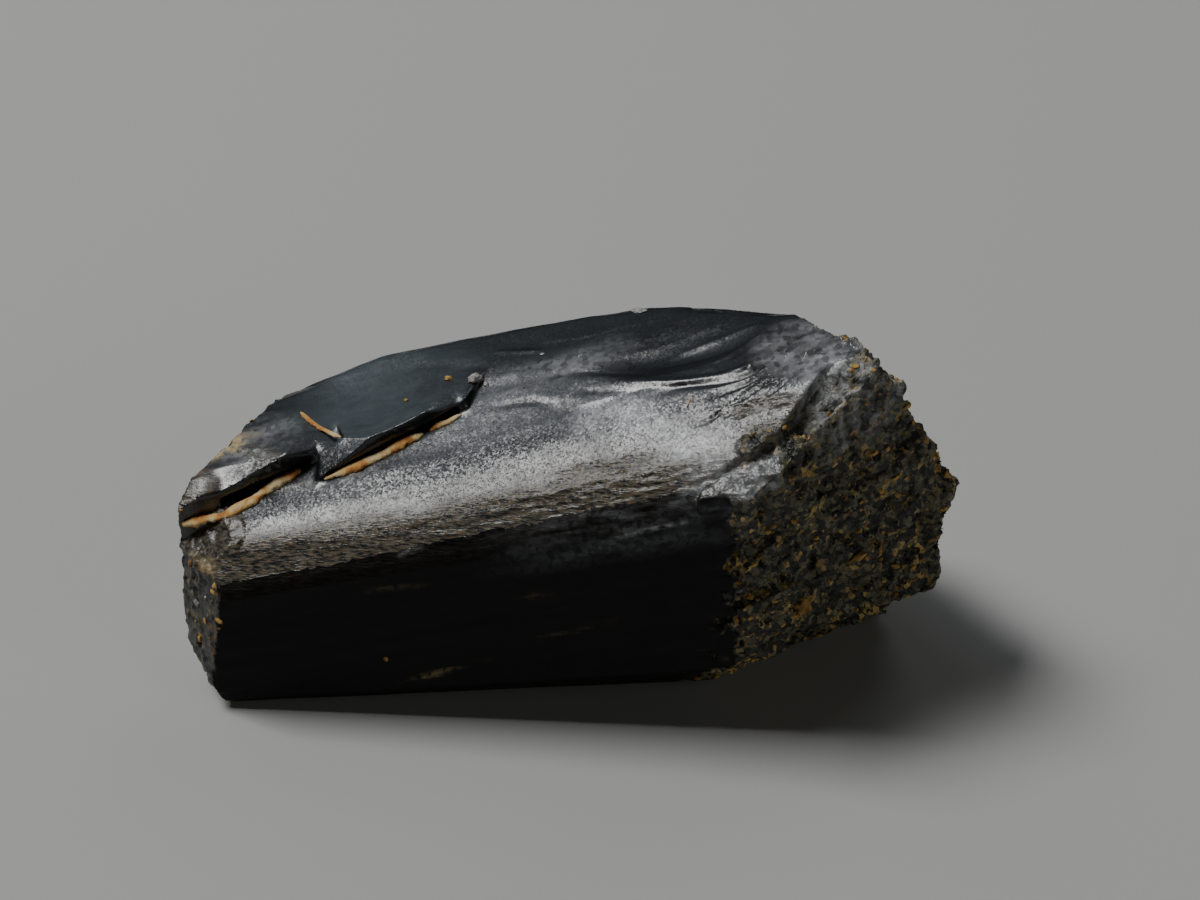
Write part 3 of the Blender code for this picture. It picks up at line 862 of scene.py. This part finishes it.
patchy = add(tree, "ShaderNodeTexNoise", {"Vector": position, "Scale": patch_scale})
patches_only = add(tree, "ShaderNodeMapRange", {"Value": patchy, "From Min": 0.42, "From Max": 0.66})
crusted = add(tree, "GeometryNodeInputNamedAttribute", {"Name": "hackly"}, data_type="FLOAT")
where = add(tree, "ShaderNodeMath", {0: patches_only, 1: crusted}, operation="MULTIPLY")
height = add(tree, "ShaderNodeSeparateXYZ", {0: position}, "Z")
off_table = add(tree, "ShaderNodeMath", {0: height, 1: given["Clear of the table"]}, operation="GREATER_THAN")
where = add(tree, "ShaderNodeMath", {0: where, 1: off_table}, operation="MULTIPLY")
density = add(tree, "ShaderNodeMath", {0: where, 1: given["Crumbs per square metre"]}, operation="MULTIPLY")
spots = add(tree, "GeometryNodeDistributePointsOnFaces",
            {"Mesh": given["Geometry"], "Density": density, "Seed": given["Seed"]}).node.outputs
draw = add(tree, "FunctionNodeRandomValue", {"Seed": given["Seed"]}, 1, data_type="FLOAT")
cubed = add(tree, "ShaderNodeMath", {0: draw, 1: 3.0}, operation="POWER")
size = add(tree, "ShaderNodeMapRange",
           {"Value": cubed, "To Min": given["Smallest"], "To Max": given["Largest"]})
squash = add(tree, "FunctionNodeRandomValue",
             {"Seed": given["Seed"], "Min": (0.6, 0.5, 0.3), "Max": (1.3, 1.0, 0.7)},
             data_type="FLOAT_VECTOR")
shape = add(tree, "ShaderNodeVectorMath", {0: squash, "Scale": size}, operation="SCALE")
lump = add(tree, "GeometryNodeMeshIcoSphere", {"Radius": 1.0, "Subdivisions": 1})
placed = add(tree, "GeometryNodeInstanceOnPoints",
             {"Points": spots["Points"], "Instance": lump, "Rotation": spots["Rotation"], "Scale": shape})
real = add(tree, "GeometryNodeRealizeInstances", {0: placed})
ragged = add(tree, "ShaderNodeTexNoise", {"Vector": position, "Scale": 1 / (RAGGED_SIZE * MM)}, "Color")
centred = add(tree, "ShaderNodeVectorMath", {0: ragged, 1: (0.5, 0.5, 0.5)}, operation="SUBTRACT")
shove = add(tree, "ShaderNodeVectorMath", {0: centred, "Scale": RAGGED_SHOVE * MM}, operation="SCALE")
moved = add(tree, "GeometryNodeSetPosition", {"Geometry": real, "Offset": shove})
finished = add(tree, "GeometryNodeSetMaterial", {"Geometry": moved, "Material": given["Material"]})
tree.links.new(finished, tree.nodes.new("NodeGroupOutput").inputs[0])

# Earthy limonite, dried from iron-bearing water: matt and porous, golden ochre to brown.
limonite = earthy("earthy_limonite", {"Roughness": 0.8}, 0.25, 2.0,
                  "#74522A", [(0.35, 0.65, "#D6AC5E")], 0.04, 0.02)

sown = bpy.data.objects.new("sown", crystal_mesh.copy())
scatter = sown.modifiers.new("crumbs", "NODES")
scatter.node_group = tree
for identifier, value in sockets.values():
    if value is not None:
        scatter[identifier] = value
scatter[sockets["Material"][0]] = limonite
crumbs_mesh = shown(sown)
crumbs_mesh.name = "limonite_crumbs"
crumbs = standing("limonite_crumbs", crumbs_mesh)
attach(crumbs, "root")


# Stray grains: larger specks of limonite, and pale quartz and feldspar from the rock that the crystal came out of.
# Each is a rounded lump that lies flat on the crystal and is sunk into it by a third of its thickness.
SUNK = 0.35
skin = BVHTree.FromPolygons(
    [v.co for v in crystal_mesh.vertices], [tuple(p.vertices) for p in crystal_mesh.polygons]
)


def settled(x, y, z):
    """The nearest place on the crystal's surface, and the way the surface faces there."""
    spot, outward, _, _ = skin.find_nearest(place(x, y, z))
    return spot, outward


def grains_of(name, material, stones):
    """One piece of many lumps, each given as a place, its three radii and its turn in degrees."""
    shape = bmesh.new()
    for number, (spot, radii, turn) in enumerate(stones):
        centre, outward = settled(*spot)
        upright = outward.to_track_quat("Z", "X").to_matrix().to_4x4()
        lay = Matrix.Translation(centre + outward * radii[2] * MM * (1 - 2 * SUNK)) @ upright
        lay = lay @ Matrix.Rotation(math.radians(turn), 4, "Z")
        made = bmesh.ops.create_icosphere(shape, subdivisions=3, radius=1.0)["verts"]
        for vertex in made:
            rough = vertex.co * 1.3 + Vector((number * 5.0, 0, 0))
            lump = 1 + 0.45 * noise.fractal(rough, 0.9, 2.1, 3)
            local = Vector(c * r * MM for c, r in zip(vertex.co * lump, radii))
            vertex.co = lay @ local
    mesh = bpy.data.meshes.new(name)
    shape.to_mesh(mesh)
    shape.free()
    mesh.shade_smooth()
    mesh.materials.append(material)
    piece = standing(name, mesh)
    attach(piece, "root")


OCHRE_SPECKS = [
    ((18.72, 1.42, 3.88), (0.26, 0.22, 0.10), 20), ((18.5, 1.25, 3.7), (0.14, 0.12, 0.08), 50),
    ((19.86, 2.42, 6.69), (0.20, 0.12, 0.08), 60), ((20.67, 3.13, 8.45), (0.13, 0.10, 0.07), 10),
    ((20.35, 2.79, 4.81), (0.22, 0.12, 0.08), 120), ((20.1, 2.6, 4.6), (0.12, 0.10, 0.06), 0),
    ((21.49, 3.7, 3.67), (0.14, 0.10, 0.07), 80), ((22.91, 4.93, 6.41), (0.20, 0.10, 0.07), 30),
    ((22.21, 4.3, 8.22), (0.12, 0.14, 0.04), 70), ((20.9, 3.35, 6.9), (0.14, 0.08, 0.06), 15),
    ((6.11, 0.0, 2.26), (0.08, 0.07, 0.04), 0), ((0.15, 1.4, 4.5), (0.12, 0.10, 0.06), 10),
    ((1.0, 0.35, 4.55), (0.10, 0.07, 0.04), 30), ((7.62, 5.6, 8.75), (0.13, 0.09, 0.07), 0),
    ((6.35, 5.1, 8.3), (0.08, 0.06, 0.05), 0), ((0.5, 1.0, 2.0), (0.14, 0.10, 0.06), 90),
]
PALE_GRAINS = [
    ((8.48, 5.41, 8.95), (0.24, 0.17, 0.12), 20), ((8.78, 5.25, 8.95), (0.10, 0.08, 0.06), 60),
    ((13.3, 7.9, 10.0), (0.24, 0.14, 0.04), 0), ((0.3, 1.2, 3.2), (0.13, 0.10, 0.07), 30),
    ((0.55, 0.6, 3.9), (0.09, 0.07, 0.05), 0), ((0.62, 0.8, 1.3), (0.08, 0.08, 0.05), 0),
    ((10.4, 6.3, 9.5), (0.07, 0.05, 0.02), 0), ((11.6, 5.9, 9.7), (0.08, 0.05, 0.02), 30),
]
# Milky quartz and feldspar, broken and rubbed round: clouded grey to off-white, with a faint gloss.
milky = earthy("milky_quartz_grain", {"IOR": 1.54, "Roughness": 0.4}, 0.15, 2.0,
               "#7C7A78", [(0.35, 0.65, "#C4C0BC")], 0.15, 0.03)
grains_of("limonite_specks", limonite, OCHRE_SPECKS)
grains_of("pale_grains", milky, PALE_GRAINS)


# Splinters: a sliver of the dried clay that has fallen across the plate, and a clay-dusted thread of lint by the
# upper corner. Each is a thin bead whose marks are first brought down to the surface.
SPLINTERS = {  # marks, width
    "clay_splinter": ([(3.03, 5.33, 7.5), (3.7, 4.5, 7.7), (4.43, 3.64, 7.98)], 0.15),
    "lint_fibre": ([(15.09, 3.12, 10.25), (15.03, 2.9, 10.2), (14.99, 2.77, 10.14)], 0.06),
}
SPLINTER_CENTRE = BEAD_SINK + 0.03  # just above the surface, once the bead is sunk
for seed, (name, (marks, width)) in enumerate(SPLINTERS.items()):
    on_skin = [tuple((settled(*mark)[0] - FOOT) / MM + Vector((0, 0, SPLINTER_CENTRE))) for mark in marks]
    bead(on_skin, [width] * 3, 0.7, 30.0 + seed, name).data.materials.append(clay)


# Floor and light: a pale matt table, and a soft box like a window, high behind the thin end. Four weaker boxes
# stand in for the sky round it and open up the shaded sides, in a room that is nearly dark.
FLOOR_SIZE = 2.0
floor_mesh = bpy.data.meshes.new("table_top")
flat = bmesh.new()
bmesh.ops.create_grid(flat, x_segments=1, y_segments=1, size=FLOOR_SIZE / 2)
flat.to_mesh(floor_mesh)
flat.free()
floor = standing("table_top", floor_mesh)
pale, _, _ = finish("pale_matt_table", {"Base Color": colour("#BBBCBB"), "Roughness": 0.85})
floor_mesh.materials.append(pale)
LIT_MIDDLE = place(11.0, 3.5, 5.0)


def soft_light(name, azimuth, elevation, distance, size, power, tint):
    """A square soft box that looks at the crystal: degrees round Z and up, millimetres away and across, watts."""
    light = bpy.data.lights.new(name, "AREA")
    light.size = size * MM
    light.energy = power
    light.color = colour(tint)[:3]
    lamp = standing(name, light)
    way = Vector(normal_of(azimuth, elevation))
    lamp.location = LIT_MIDDLE + way * distance * MM
    lamp.rotation_euler = way.to_track_quat("Z", "Y").to_euler()


soft_light("window", 167, 60.5, 450, 155, 1.42, "#FFFEFC")
soft_light("window_far_end", 132, 50, 450, 190, 0.10, "#D4E2F4")
soft_light("side_sky", 330, 22, 450, 200, 0.16, "#F0F0E6")
soft_light("back_sky", 65, 42, 450, 200, 0.14, "#F0F2EE")
soft_light("low_sky", 112, 25, 500, 180, 0.025, "#C8DCE8")
room = bpy.data.worlds.new("room")
room.use_nodes = True
room.node_tree.nodes["Background"].inputs["Color"].default_value = colour("#8A8E92")
room.node_tree.nodes["Background"].inputs["Strength"].default_value = 0.02
bpy.context.scene.world = room
